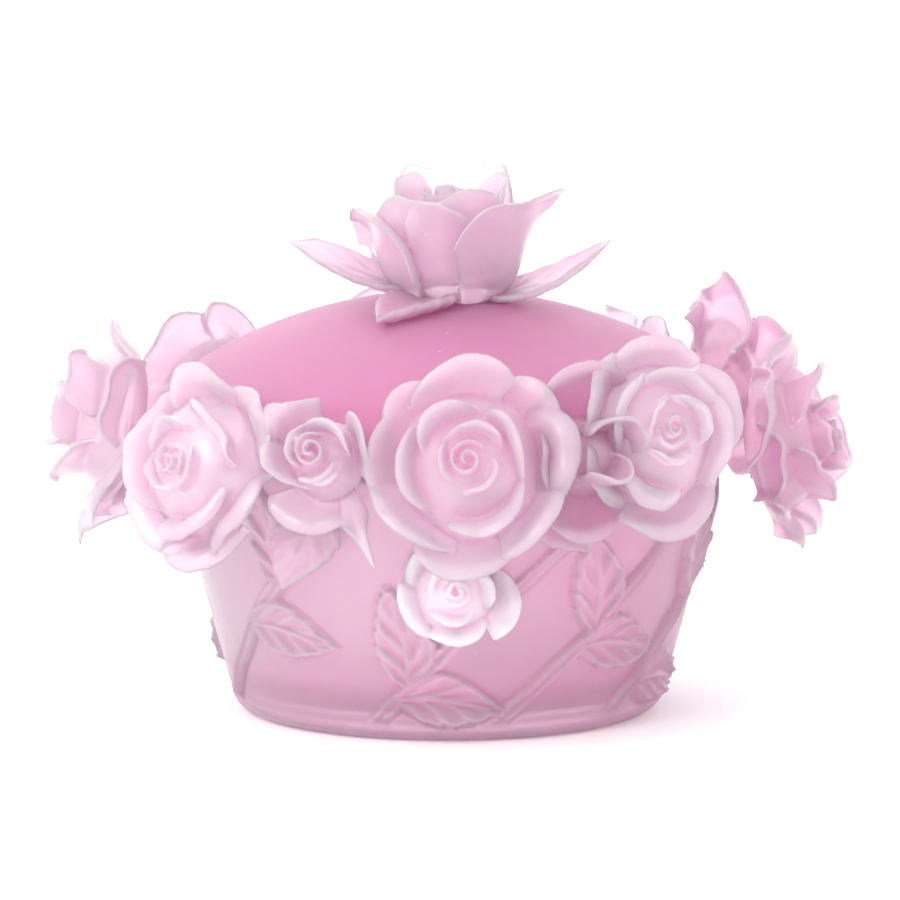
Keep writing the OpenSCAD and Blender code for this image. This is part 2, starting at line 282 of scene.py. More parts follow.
class NodeGroups:
    """Shader node groups shared by the finishes, each built once.

    `FLAT` is how pointed Blender calls a flat surface; the others belong to the noises.
    """

    DETAIL = 3.0
    FINE_SHARE = 0.35
    PATCH_SCALE = 45.0
    PATCH_LIMIT = 0.56
    FLAT = 0.5

    @staticmethod
    def _new(name: str, inputs: dict[str, float], outputs: dict[str, str]) -> bpy.types.NodeTree:
        """Makes a group with no nodes yet.

        Args:
            name: The group's name.
            inputs: Names of its float inputs, with the values they start from.
            outputs: Names of its outputs, with the type of each socket.

        Returns:
            The group's tree.
        """
        tree = bpy.data.node_groups.new(name, "ShaderNodeTree")
        for key, value in inputs.items():
            socket = tree.interface.new_socket(key, in_out="INPUT", socket_type="NodeSocketFloat")
            socket.default_value = value
        for key, kind in outputs.items():
            tree.interface.new_socket(key, in_out="OUTPUT", socket_type=kind)
        return tree

    @classmethod
    def clouding(cls) -> bpy.types.NodeTree:
        """Slow drift of colour in the glass: a noise, plus about a third of a finer one.

        Returns:
            The group, with the scales of both noises as inputs and a mask as output.
        """
        name = "glass_clouding"
        if name in bpy.data.node_groups:
            return bpy.data.node_groups[name]
        tree = cls._new(name, {"Scale": 20.0, "Fine": 120.0}, {"Mask": "NodeSocketFloat"})
        nodes, link = tree.nodes, tree.links.new
        inside, out = nodes.new("NodeGroupInput"), nodes.new("NodeGroupOutput")
        place = nodes.new("ShaderNodeTexCoord")
        add = nodes.new("ShaderNodeMath")
        add.operation = "MULTIPLY_ADD"
        add.inputs[1].default_value = cls.FINE_SHARE
        slow, fine = nodes.new("ShaderNodeTexNoise"), nodes.new("ShaderNodeTexNoise")
        for noise, key in ((slow, "Scale"), (fine, "Fine")):
            noise.inputs["Detail"].default_value = cls.DETAIL
            link(place.outputs["Object"], noise.inputs["Vector"])
            link(inside.outputs[key], noise.inputs["Scale"])
        link(fine.outputs["Fac"], add.inputs[0])
        link(slow.outputs["Fac"], add.inputs[2])
        link(add.outputs[0], out.inputs["Mask"])
        return tree

    @classmethod
    def seeds(cls) -> bpy.types.NodeTree:
        """Small bubbles: the cores of Voronoi cells, kept only where a slow noise is high.

        Returns:
            The group, with the cells' scale and the bubbles' size as inputs and a mask as output.
        """
        name = "glass_seeds"
        if name in bpy.data.node_groups:
            return bpy.data.node_groups[name]
        tree = cls._new(name, {"Scale": 160.0, "Size": 0.09}, {"Mask": "NodeSocketFloat"})
        nodes, link = tree.nodes, tree.links.new
        inside, out = nodes.new("NodeGroupInput"), nodes.new("NodeGroupOutput")
        place = nodes.new("ShaderNodeTexCoord")
        cells, patches = nodes.new("ShaderNodeTexVoronoi"), nodes.new("ShaderNodeTexNoise")
        patches.inputs["Scale"].default_value = cls.PATCH_SCALE
        spot, where, both = (nodes.new("ShaderNodeMath") for _ in range(3))
        spot.operation, where.operation, both.operation = "LESS_THAN", "GREATER_THAN", "MULTIPLY"
        where.inputs[1].default_value = cls.PATCH_LIMIT
        link(place.outputs["Object"], cells.inputs["Vector"])
        link(place.outputs["Object"], patches.inputs["Vector"])
        link(inside.outputs["Scale"], cells.inputs["Scale"])
        link(cells.outputs["Distance"], spot.inputs[0])
        link(inside.outputs["Size"], spot.inputs[1])
        link(patches.outputs["Fac"], where.inputs[0])
        link(spot.outputs[0], both.inputs[0])
        link(where.outputs[0], both.inputs[1])
        link(both.outputs[0], out.inputs["Mask"])
        return tree

    @classmethod
    def relief(cls) -> bpy.types.NodeTree:
        """Masks of a painted highlight on raised rims and of painted shade in creases, from how convex or concave
        the glass is at each place.

        Returns:
            The group, with the width of the change as input and a mask of each as outputs.
        """
        name = "glass_relief"
        if name in bpy.data.node_groups:
            return bpy.data.node_groups[name]
        tree = cls._new(name, {"Width": 0.06}, {"Rim": "NodeSocketFloat", "Crease": "NodeSocketFloat"})
        nodes, link = tree.nodes, tree.links.new
        inside, out = nodes.new("NodeGroupInput"), nodes.new("NodeGroupOutput")
        shape = nodes.new("ShaderNodeNewGeometry")
        for key, sign in (("Rim", 1.0), ("Crease", -1.0)):
            reach, limit = nodes.new("ShaderNodeMath"), nodes.new("ShaderNodeMapRange")
            reach.operation = "MULTIPLY_ADD"
            reach.inputs[1].default_value = sign
            reach.inputs[2].default_value = cls.FLAT
            limit.inputs["From Min"].default_value = cls.FLAT
            link(inside.outputs["Width"], reach.inputs[0])
            link(shape.outputs["Pointiness"], limit.inputs["Value"])
            link(reach.outputs[0], limit.inputs["From Max"])
            link(limit.outputs["Result"], out.inputs[key])
        return tree


@dataclass(frozen=True)
class CastGlass:
    """Frosted cast glass: light scatters deep inside it, and its skin is satin under a thin wet gloss.

    The colour drifts between two pinks. It pales on raised rims, partly because thin glass is paler and partly as a
    painted highlight. It darkens with painted shade in creases, and bubbles fleck it. It may also take painted shade
    towards the jar's foot, and towards its right side, by the shares given.
    """

    slot: str
    pale: Colour
    deep: Colour
    rim: Colour
    painted_shade: Colour
    tone: Tone = Tone.PLAIN
    rim_highlight_share: float = 0.3
    crease_shade_share: float = 0.65
    relief_width: float = 0.06
    cloud_scales: tuple[float, float] = (20.0, 120.0)
    foot_shade_share: float = 0.0
    foot_mm: tuple[float, float] = (26.0, 3.0)
    side_shade_share: float = 0.0
    side_mm: tuple[float, float] = (8.0, 60.0)
    bubble: Colour = (0.96, 0.9, 0.94)
    bubble_share: float = 0.5
    bubble_scale: float = 160.0
    bubble_size: float = 0.09
    scatter_mm: float = 6.0
    scatter_reach: Colour = (1.0, 0.75, 0.85)
    scatter_forward: float = 0.3
    clear: float = 0.6
    refraction: float = 1.48
    gloss: float = 0.5
    wet: float = 0.0
    wet_roughness: float = 0.16
    roughness: float = 0.3
    smoother: float = 0.06
    rougher: float = 0.08
    grain_mm: float = 0.02
    grain_scale: float = 900.0
    grain_strength: float = 0.6

    def material(self) -> bpy.types.Material:
        """Builds the finish's material the first time it is asked for.

        Returns:
            The material.
        """
        name = f"cast_{self.slot}_{self.tone.value}"
        if name in bpy.data.materials:
            return bpy.data.materials[name]
        made = bpy.data.materials.new(name)
        made.use_nodes = True
        nodes, link = made.node_tree.nodes, made.node_tree.links.new
        glass = nodes["Principled BSDF"]
        glass.inputs["Subsurface Weight"].default_value = 1.0
        glass.inputs["Subsurface Radius"].default_value = self.scatter_reach
        glass.inputs["Subsurface Scale"].default_value = self.scatter_mm * MM
        glass.inputs["Subsurface Anisotropy"].default_value = self.scatter_forward
        glass.inputs["IOR"].default_value = self.refraction
        glass.inputs["Specular IOR Level"].default_value = self.gloss
        glass.inputs["Transmission Weight"].default_value = self.clear
        glass.inputs["Coat Weight"].default_value = self.wet
        glass.inputs["Coat Roughness"].default_value = self.wet_roughness
        cloud = nodes.new("ShaderNodeGroup")
        cloud.node_tree = NodeGroups.clouding()
        cloud.inputs["Scale"].default_value, cloud.inputs["Fine"].default_value = self.cloud_scales
        link(self._colour(made, cloud.outputs["Mask"]), glass.inputs["Base Color"])
        link(self._grain(made), glass.inputs["Normal"])
        rough = nodes.new("ShaderNodeMapRange")
        rough.inputs["To Min"].default_value = self.roughness - self.smoother
        rough.inputs["To Max"].default_value = self.roughness + self.rougher
        link(cloud.outputs["Mask"], rough.inputs["Value"])
        link(rough.outputs["Result"], glass.inputs["Roughness"])
        return made

    def _colour(self, made: bpy.types.Material, cloud: bpy.types.NodeSocket) -> bpy.types.NodeSocket:
        """Builds the nodes that mix the finish's colours.

        Args:
            made: Material that they belong to.
            cloud: Mask of the drift between the two pinks.

        Returns:
            The socket of the mixed colour.
        """
        nodes, link = made.node_tree.nodes, made.node_tree.links.new
        seeds, relief = nodes.new("ShaderNodeGroup"), nodes.new("ShaderNodeGroup")
        seeds.node_tree = NodeGroups.seeds()
        seeds.inputs["Scale"].default_value = self.bubble_scale
        seeds.inputs["Size"].default_value = self.bubble_size
        relief.node_tree = NodeGroups.relief()
        relief.inputs["Width"].default_value = self.relief_width
        colour = self._mix(made, cloud, self.pale, self.deep, 1.0)
        # Paler on raised rims: partly the paler colour of thin glass, partly a painted highlight.
        colour = self._mix(made, relief.outputs["Rim"], colour, self.rim, self.rim_highlight_share)
        # Painted shade in creases.
        colour = self._mix(made, relief.outputs["Crease"], colour, self.painted_shade, self.crease_shade_share)
        # Painted shade towards the jar's foot and towards its right side, in the painted shade colour.
        for axis, (near, far), share in (("Z", self.foot_mm, self.foot_shade_share), ("X", self.side_mm, self.side_shade_share)):
            if share:
                part, fall = nodes.new("ShaderNodeSeparateXYZ"), nodes.new("ShaderNodeMapRange")
                fall.interpolation_type = "SMOOTHSTEP"
                fall.inputs["From Min"].default_value = near * MM
                fall.inputs["From Max"].default_value = far * MM
                link(nodes.new("ShaderNodeTexCoord").outputs["Object"], part.inputs[0])
                link(part.outputs[axis], fall.inputs["Value"])
                colour = self._mix(made, fall.outputs["Result"], colour, self.painted_shade, share)
        return self._mix(made, seeds.outputs["Mask"], colour, self.bubble, self.bubble_share)

    def _grain(self, made: bpy.types.Material) -> bpy.types.NodeSocket:
        """Builds the nodes of the satin skin's fine grain.

        Args:
            made: Material that they belong to.

        Returns:
            The socket of the bumped normal.
        """
        nodes, link = made.node_tree.nodes, made.node_tree.links.new
        place, grain, bump = (
            nodes.new(kind) for kind in ("ShaderNodeTexCoord", "ShaderNodeTexNoise", "ShaderNodeBump")
        )
        grain.inputs["Scale"].default_value = self.grain_scale
        grain.inputs["Detail"].default_value = 4.0
        bump.inputs["Distance"].default_value = self.grain_mm * MM
        bump.inputs["Strength"].default_value = self.grain_strength
        link(place.outputs["Object"], grain.inputs["Vector"])
        link(grain.outputs["Fac"], bump.inputs["Height"])
        return bump.outputs["Normal"]

    @staticmethod
    def _mix(
        made: bpy.types.Material,
        mask: bpy.types.NodeSocket,
        first: bpy.types.NodeSocket | Colour,
        second: Colour,
        share: float,
    ) -> bpy.types.NodeSocket:
        """Changes one colour to another by a mask times a share.

        Args:
            made: Material that the nodes belong to.
            mask: Socket of the mask.
            first: Colour where the mask is nothing, or its socket.
            second: Colour towards which it changes.
            share: How much of the change a full mask makes.

        Returns:
            The socket of the mixed colour.
        """
        nodes, link = made.node_tree.nodes, made.node_tree.links.new
        mix = nodes.new("ShaderNodeMix")
        mix.data_type = "RGBA"
        amount = nodes.new("ShaderNodeMath")
        amount.operation = "MULTIPLY"
        amount.inputs[1].default_value = share
        link(mask, amount.inputs[0])
        link(amount.outputs[0], mix.inputs["Factor"])
        if isinstance(first, tuple):
            mix.inputs["A"].default_value = (*first, 1.0)
        else:
            link(first, mix.inputs["A"])
        mix.inputs["B"].default_value = (*second, 1.0)
        return mix.outputs["Result"]


BOWL_GLASS = CastGlass(
    "bowl_glass",
    pale=(0.97, 0.88, 0.93),
    deep=(0.91, 0.66, 0.80),
    rim=(0.99, 0.94, 0.97),
    painted_shade=(0.89, 0.46, 0.68),
    rim_highlight_share=0.55,
    foot_shade_share=0.65,
    side_shade_share=0.55,
    clear=0.8,
    gloss=0.35,
    wet=0.2,
    roughness=0.36,
)
ROSE_GLASS = CastGlass(
    "rose_glass",
    pale=(1.0, 0.91, 0.96),
    deep=(0.93, 0.65, 0.80),
    rim=(1.0, 0.96, 0.98),
    painted_shade=(0.91, 0.55, 0.75),
    clear=0.66,
    wet=0.4,
)
LEAF_GLASS = replace(ROSE_GLASS, slot="leaf_glass", pale=(0.96, 0.80, 0.89))
LID_GLASS = CastGlass(
    "lid_glass",
    pale=(0.79, 0.37, 0.59),
    deep=(0.75, 0.32, 0.55),
    rim=(0.86, 0.54, 0.72),
    painted_shade=(0.71, 0.26, 0.48),
    gloss=0.25,
    roughness=0.48,
)
PALEST_GLASS = replace(ROSE_GLASS, tone=Tone.PALEST, pale=(0.98, 0.84, 0.91), deep=(0.95, 0.75, 0.85), clear=0.3)
# A deeper copy: painted shade on the flowers at the jar's right; the knob's thicker front leaf has it as its own
# colour.
DEEP_GLASS = replace(ROSE_GLASS, tone=Tone.DEEP, pale=(0.93, 0.72, 0.83), deep=(0.84, 0.50, 0.68))
KNOB_GLASS = replace(ROSE_GLASS, slot="knob_glass")
DEEP_KNOB_GLASS = replace(DEEP_GLASS, slot="knob_glass")


def dressed(piece: bpy.types.Object, finish: CastGlass, body: Body, *nodes: str) -> None:
    """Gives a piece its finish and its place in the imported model, and reports it.

    Args:
        piece: The finished object.
        finish: Glass that it is cast in.
        body: Body that it moves with.
        nodes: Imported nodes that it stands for.
    """
    piece.data.materials.clear()
    piece.data.materials.append(finish.material())
    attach(piece, body.value)
    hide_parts(*nodes)
    log.info("%s: %d faces", piece.name, len(piece.data.polygons))


# ---------------------------------------------------------------------------------------------------------------
# Bowl and lid
# ---------------------------------------------------------------------------------------------------------------


@dataclass(frozen=True)
class Strip:
    """Where a packed stem or leaf lies, seen flat: its middle, its direction, its reach along and across that."""

    centre: np.ndarray
    way: np.ndarray
    side: np.ndarray
    start: float
    length: float
    half_w: float

    @staticmethod
    def of(points: np.ndarray, towards: tuple[float, float]) -> "Strip":
        """Fits a strip to points.

        Args:
            points: Points whose first two coordinates lie in the flat.
            towards: Rough direction from the strip's start to its end.

        Returns:
            The strip. Its direction is the points' longest one, from their singular value decomposition.
        """
        centre = points[:, :2].mean(axis=0)
        _, _, axes = np.linalg.svd(points[:, :2] - centre)
        way = axes[0] * (1 if axes[0] @ np.array(towards) > 0 else -1)
        side = np.array([-way[1], way[0]])
        along, across = (points[:, :2] - centre) @ way, (points[:, :2] - centre) @ side
        centre = centre + side * (across.max() + across.min()) / 2
        return Strip(centre, way, side, along.min(), np.ptp(along), np.ptp(across) / 2)


@dataclass(frozen=True)
class LeafShape:
    """Outline and veins of a leaf, for v from 0 to 1 along it and u from -1 to 1 across it."""

    broad: float = 0.72
    teeth: float = 7.0
    tooth: float = 0.09
    veins: float = 5.0
    vein_w: float = 0.13
    sweep: float = 1.5

    def outline(self, v: np.ndarray) -> np.ndarray:
        """Width along the leaf: a sine of a power of the length, with saw teeth on it.

        Args:
            v: Places along the leaf.

        Returns:
            Shares of the half width. They stop just short of the ends, so that the tips aren't of no width.
        """
        v = np.clip(v, 0.015, 0.985)
        saw = np.mod(self.teeth * v, 1.0) - 0.5
        return np.sin(math.pi * v**self.broad) * (1 + self.tooth * saw * np.sin(math.pi * v))

    def bend(self, v: np.ndarray) -> np.ndarray:
        """How far the midrib swings sideways along the leaf: a fading sine, in millimetres."""
        return 2 * self.sweep * np.sin(math.pi * v) * (1 - v)

    def ribs(self, u: np.ndarray, v: np.ndarray) -> np.ndarray:
        """Veins: a midrib that sinks towards the tip, and side veins that run forwards from it as bell curves.

        Args:
            u: Places across the leaf.
            v: Places along it.

        Returns:
            Heights of the veins, from 0 to 1.
        """
        midrib = np.exp(-((u / 0.1) ** 2)) * (1 - 0.5 * v)
        phase = np.mod(self.veins * v - 1.5 * np.abs(u) + 0.25 * np.sign(u), 1.0) - 0.5
        side = np.exp(-((phase / self.vein_w) ** 2)) * np.abs(u) ** 0.3 * np.clip((1 - np.abs(u)) * 5, 0, 1)
        return np.maximum(midrib, 0.75 * side)


@dataclass(frozen=True)
class WallLeaf:
    """A leaf in low relief on the wall: each half is dished between the midrib and a raised edge."""

    strip: Strip
    shape: LeafShape
    height: float = 3.0
    edge_mm: float = 0.9

    def over(self, round_: np.ndarray, up: np.ndarray, turn: float) -> np.ndarray:
        """Height of the leaf over the wall.

        Args:
            round_: Distances round the unrolled wall.
            up: Heights.
            turn: Length of a whole turn round it.

        Returns:
            The height at each place: a square of the distance from the midrib plus the ribs, brought down to
            nothing within `edge_mm` of the outline.
        """
        across = np.mod(round_ - self.strip.centre[0] + turn / 2, turn) - turn / 2
        rise = up - self.strip.centre[1]
        v = (across * self.strip.way[0] + rise * self.strip.way[1] - self.strip.start) / self.strip.length
        q = across * self.strip.side[0] + rise * self.strip.side[1] - self.shape.bend(v)
        half = np.maximum(self.strip.half_w * self.shape.outline(v), 1e-3)
        u = np.clip(q / half, -1, 1)
        dish = 0.3 + 0.6 * u**2 + 0.22 * np.sin(6 * v + 2 * np.sign(u)) * np.abs(u)
        edge = np.clip((half - np.abs(q)) / self.edge_mm, 0, 1)
        ends = np.clip(np.minimum(v, 1 - v) * self.strip.length / self.edge_mm, 0, 1)
        return self.height * (dish + 0.45 * self.shape.ribs(u, v)) * np.sqrt(edge * ends)


@dataclass(frozen=True)
class WallStem:
    """A stem in low relief that climbs the wall on a straight line, swaying a little, with a groove on its back."""

    line: np.ndarray
    low: float
    high: float
    half_w: float = 2.0
    height: float = 2.0
    groove: float = 0.6
    sway: float = 0.6

    @staticmethod
    def of(points: np.ndarray) -> "WallStem":
        """The stem whose line is the straight one that fits the points of the unrolled wall best."""
        return WallStem(np.polyfit(points[:, 1], points[:, 0], 1), points[:, 1].min(), points[:, 1].max())

    def over(self, round_: np.ndarray, up: np.ndarray, turn: float) -> np.ndarray:
        """Height of the stem over the wall.

        Args:
            round_: Distances round the unrolled wall.
            up: Heights.
            turn: Length of a whole turn round it.

        Returns:
            The height at each place: half an ellipse across, less a bell-shaped groove. Sines of the height sway
            the middle and swell the width and the height, and the ends fall off as a square root.
        """
        middle = np.polyval(self.line, up) + self.sway * np.sin(up / 6 + self.line[1])
        across = np.mod(round_ - middle + turn / 2, turn) - turn / 2
        width = self.half_w * (1 + 0.12 * np.sin(up / 2.6)) * (1.1 - 0.004 * up)
        u = across / (width * math.hypot(1, self.line[0]))
        ends = np.clip(np.minimum(up - self.low, self.high - up) / 2.0, 0, 1)
        swell = np.sqrt(np.clip(1 - u**2, 0, 1)) - self.groove * np.exp(-((u / 0.3) ** 2))
        return self.height * swell * (1 + 0.12 * np.sin(up / 1.9)) * np.sqrt(ends)


@dataclass
class Bowl:
    """The flared bowl, a body of revolution with a rounded foot."""

    foot_r: float = 51.0
    swell: float = 1.2
    wall: float = 5.5
    floor: float = 7.0
    foot_round: float = 6.0
    well_round: float = 9.0
    lip_round: float = 1.2
    sides: int = 480
    wall_rows: int = 130
    roll_r: float = 60.0
    height: float = field(init=False)
    mouth_r: float = field(init=False)

    def __post_init__(self) -> None:
        """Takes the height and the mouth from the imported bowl."""
        low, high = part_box("bowl")
        self.height = high[2] / MM
        self.mouth_r = (high[0] - low[0]) / 2 / MM

    def radius(self, z: np.ndarray) -> np.ndarray:
        """Outer radius at a height: a straight flare from foot to mouth plus a parabola's swell."""
        t = np.asarray(z) / self.height
        return self.foot_r + (self.mouth_r - self.foot_r) * t + 4 * self.swell * t * (1 - t)

    def flat(self, points: np.ndarray) -> np.ndarray:
        """Unrolls the wall.

        Args:
            points: Points near the wall, n x 3.

        Returns:
            For each point its distance round the wall from the front, its height, and its distance out of the wall.
            The angles are kept within half a turn of their mean direction, so that no piece is cut in two.
        """
        z = points[:, 2]
        angle = np.arctan2(points[:, 0], -points[:, 1])
        middle = np.angle(np.exp(1j * angle).mean())
        angle = middle + np.angle(np.exp(1j * (angle - middle)))
        out = np.hypot(points[:, 0], points[:, 1]) - self.radius(z)
        return np.stack([angle * self.roll_r, z, out], axis=1)

    def placed(self, flat: np.ndarray) -> np.ndarray:
        """Rolls the wall up again.

        Args:
            flat: Points as `flat` gives them, in an array of any shape that ends in 3.

        Returns:
            The points in the jar's own frame.
        """
        angle, z = flat[..., 0] / self.roll_r, flat[..., 1]
        r = self.radius(z) + flat[..., 2]
        return np.stack([r * np.sin(angle), -r * np.cos(angle), z], axis=-1)

    @staticmethod
    def _arc(centre: tuple[float, float], r: float, start: float, end: float, count: int) -> np.ndarray:
        """Part of a circle in the bowl's section.

        Args:
            centre: Radius and height of its centre.
            r: Its own radius.
            start: Angle it starts at, in degrees.
            end: Angle it ends at.
            count: Points on it.

        Returns:
            Its points, as pairs of a radius and a height.
        """
        a = np.radians(np.linspace(start, end, count))
        return np.stack([centre[0] + r * np.cos(a), centre[1] + r * np.sin(a)], axis=1)

    def reliefs(self) -> list[WallLeaf | WallStem]:
        """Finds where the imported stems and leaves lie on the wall.

        Returns:
            The relief of each.
        """
        found: list[WallLeaf | WallStem] = []
        for node in self.relief_nodes():
            points = self.flat(node_points(node))
            if node.startswith("stem_"):
                found.append(WallStem.of(points))
            else:
                upright = node.endswith("_upright")
                shape = LeafShape(sweep=-1.5 if upright else 1.5, veins=4.0, vein_w=0.2)
                found.append(WallLeaf(Strip.of(points, (0, 1) if upright else (1, 0)), shape))
        return found

    @staticmethod
    def relief_nodes() -> list[str]:
        """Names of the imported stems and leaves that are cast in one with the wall."""
        return [node for node in sorted(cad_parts) if node.startswith(("stem_", "leaf_"))]

    def build(self) -> bpy.types.Object:
        """Makes the bowl with its reliefs.

        Its section is turned about the axis: foot, rounded foot edge, flared wall, rounded lip, inner wall and
        rounded well. The outer wall then moves out by the highest relief at each place.

        Returns:
            The piece.
        """
        lip = self.lip_round
        rise = np.linspace(self.foot_round, self.height - lip, self.wall_rows)[1:-1]
        fall = np.linspace(self.height - lip, self.floor + self.well_round, 20)[1:-1]
        well_z = self.floor + self.well_round
        well_r = float(self.radius(well_z)) - self.wall - self.well_round
        foot_r = float(self.radius(self.foot_round)) - self.foot_round
        underside = [[0.0, 0.0], [foot_r * 0.5, 0.0]]
        foot_edge = self._arc((foot_r, self.foot_round), self.foot_round, -90, 0, 12)
        profile = np.concatenate([
            underside,
            foot_edge,
            np.stack([self.radius(rise), rise], axis=1),
            self._arc((self.mouth_r - lip, self.height - lip), lip, 0, 90, 5),
            self._arc((self.mouth_r - self.wall + lip, self.height - lip), lip, 90, 180, 5),
            np.stack([self.radius(fall) - self.wall, fall], axis=1),
            self._arc((well_r, well_z), self.well_round, 0, -90, 9),
            [[well_r * 0.5, self.floor], [0.0, self.floor]],
        ])
        patch = revolved(profile[:, 0], profile[:, 1], self.sides)
        grid = patch.verts.reshape(len(profile), self.sides, 3)
        # The reliefs start two steps up the foot's edge and end under the lip.
        outer = grid[len(underside) + 2 : len(underside) + len(foot_edge) + len(rise)]
        round_ = np.arctan2(outer[..., 0], -outer[..., 1]) * self.roll_r
        turn = 2 * math.pi * self.roll_r
        over = np.max([relief.over(round_, outer[..., 2], turn) for relief in self.reliefs()], axis=0)
        outer[..., :2] *= 1 + np.maximum(over, 0)[..., None] / np.hypot(outer[..., 0], outer[..., 1])[..., None]
        patch.verts = grid.reshape(-1, 3)
        piece = new_object("bowl_wall", patch)
        dressed(piece, BOWL_GLASS, Body.BOWL, "bowl", *self.relief_nodes())
        return piece


@dataclass
class Lid:
    """The domed lid: a part of a sphere with a rounded shoulder, and the rim that drops into the mouth."""

    upright: float = 3.9
    shoulder_r: float = 12.0
    thickness: float = 5.0
    edge_round: float = 1.0
    rim_r: float = 61.5
    rim_t: float = 3.0
    rim_bevel: float = 0.6
    rim_play: float = 0.05
    sides: int = 256
    seat_z: float = field(init=False)
    top_z: float = field(init=False)
    edge_r: float = field(init=False)
    sphere_r: float = field(init=False)

    def __post_init__(self) -> None:
        """Takes seat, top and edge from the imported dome; the sphere is the one that the shoulder meets smoothly."""
        low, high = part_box("lid_dome")
        self.seat_z, self.top_z = low[2] / MM, high[2] / MM
        self.edge_r = (high[0] - low[0]) / 2 / MM
        over = self.top_z - self.seat_z - self.upright
        reach = self.edge_r - self.shoulder_r
        self.sphere_r = (reach**2 + over**2 - self.shoulder_r**2) / (2 * (over - self.shoulder_r))

    def _section(self, edge_r: float, sphere_r: float, corner_r: float, count: int) -> np.ndarray:
        """Shoulder and dome of one side of the glass: an arc, and the arc of the sphere that it meets smoothly.

        Args:
            edge_r: Radius at the edge.
            sphere_r: Radius of the sphere.
            corner_r: Radius of the shoulder.
            count: Points on the dome; the shoulder has about a third as many.

        Returns:
            Pairs of a radius and a height, from the edge up to the axis.
        """
        centre_z = self.top_z - self.sphere_r
        corner = np.array([edge_r - corner_r, 0.0])
        corner[1] = centre_z + math.sqrt((sphere_r - corner_r) ** 2 - corner[0] ** 2)
        meet = math.atan2(corner[1] - centre_z, corner[0])
        shoulder = np.linspace(0, meet, count // 3)[:-1]
        dome = np.linspace(meet, math.pi / 2, count)
        return np.concatenate([
            corner + corner_r * np.stack([np.cos(shoulder), np.sin(shoulder)], axis=1),
            [0, centre_z] + sphere_r * np.stack([np.cos(dome), np.sin(dome)], axis=1),
        ])

    def build(self) -> list[bpy.types.Object]:
        """Makes the dome, as one closed shell of even thickness, and the locating rim.

        Returns:
            Both pieces.
        """
        outer = self._section(self.edge_r, self.sphere_r, self.shoulder_r, 48)
        inner = self._section(
            self.edge_r - self.thickness, self.sphere_r - self.thickness, self.shoulder_r - self.thickness, 40
        )
        e, seat = self.edge_round, self.seat_z
        edge = np.array([
            [self.edge_r - self.thickness, seat + e],
            [self.edge_r - self.thickness + 0.3 * e, seat + 0.3 * e],
            [self.edge_r - self.thickness + e, seat],
            [self.edge_r - e, seat],
            [self.edge_r - 0.3 * e, seat + 0.3 * e],
            [self.edge_r, seat + e],
        ])
        profile = np.concatenate([inner[::-1], edge, outer])
        dome = new_object("dome_shell", revolved(profile[:, 0], profile[:, 1], self.sides))
        dressed(dome, LID_GLASS, Body.LID, "lid_dome")
        low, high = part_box("lid_rim")
        bottom, top = low[2] / MM, high[2] / MM
        upper_r = self.edge_r - self.thickness - self.rim_play
        r, t, b = self.rim_r, self.rim_t, self.rim_bevel
        section = np.array([
            [r - t, bottom + b],
            [r - t + b, bottom],
            [r - b, bottom],
            [r, bottom + b],
            [r, seat],
            [upper_r, seat],
            [upper_r, top],
            [r - t, top],
            [r - t, bottom + b],
        ])
        rim = new_object("locating_rim", revolved(section[:, 0], section[:, 1], self.sides))
        dressed(rim, LID_GLASS, Body.LID_RIM, "lid_rim")
        return [dome, rim]


# ---------------------------------------------------------------------------------------------------------------
# Flowers
# ---------------------------------------------------------------------------------------------------------------


